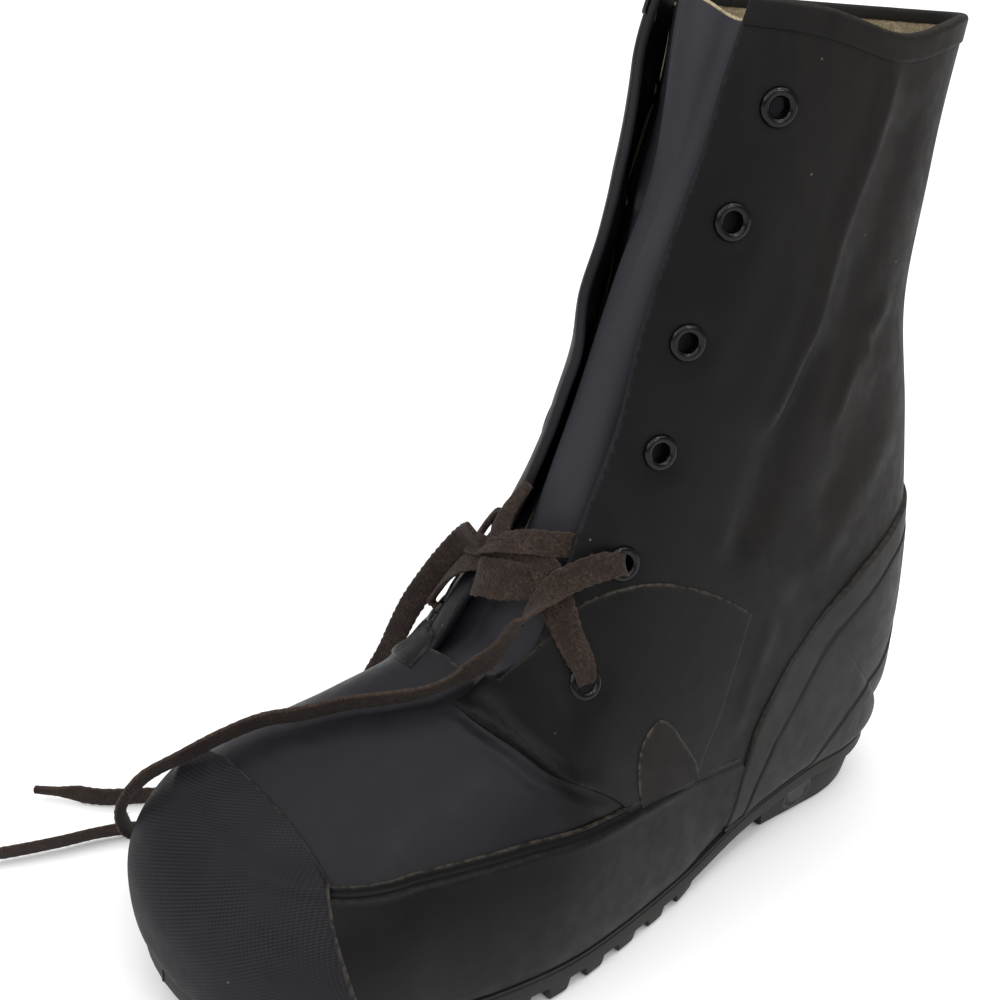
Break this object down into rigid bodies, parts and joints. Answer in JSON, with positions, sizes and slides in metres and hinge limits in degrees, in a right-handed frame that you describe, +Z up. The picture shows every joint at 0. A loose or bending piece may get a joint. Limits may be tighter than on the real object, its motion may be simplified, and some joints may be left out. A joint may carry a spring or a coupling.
{
  "type": "insulated boot",
  "caption": "Tall insulated black rubber boot for the left foot, laced over a tongue, with a toe cap, a band round the foot, a lugged outsole and a block heel.",
  "frame": {"origin": "middle of the boot's box, on the floor it stands on", "axes": "+Z up, -Y towards the toe, +X towards the outer side of the left foot"},
  "size_m": [0.2039, 0.3566, 0.308],
  "materials": {
    "rubber": "satin",
    "sole_rubber": "matte",
    "eyelet": "gloss black enamel",
    "board": "felt",
    "lace": "flat woven cotton"
  },
  "bodies": {
    "root": {"upper": "rubber", "tongue": "rubber", "foxing": "rubber", "toe_cap": "rubber", "heel_counter": "rubber", "outsole": "sole_rubber", "heel": "sole_rubber", "insole": "board", "eyelet_lateral_1": "eyelet", "eyelet_lateral_2": "eyelet", "eyelet_lateral_3": "eyelet", "eyelet_lateral_4": "eyelet", "eyelet_lateral_5": "eyelet", "eyelet_lateral_6": "eyelet", "eyelet_medial_1": "eyelet", "eyelet_medial_2": "eyelet", "eyelet_medial_3": "eyelet", "eyelet_medial_4": "eyelet", "eyelet_medial_5": "eyelet", "eyelet_medial_6": "eyelet", "lace_bars": "lace", "lace_knot": "lace", "lace_end_long": "lace", "lace_end_short": "lace"}
  },
  "joints": []
}
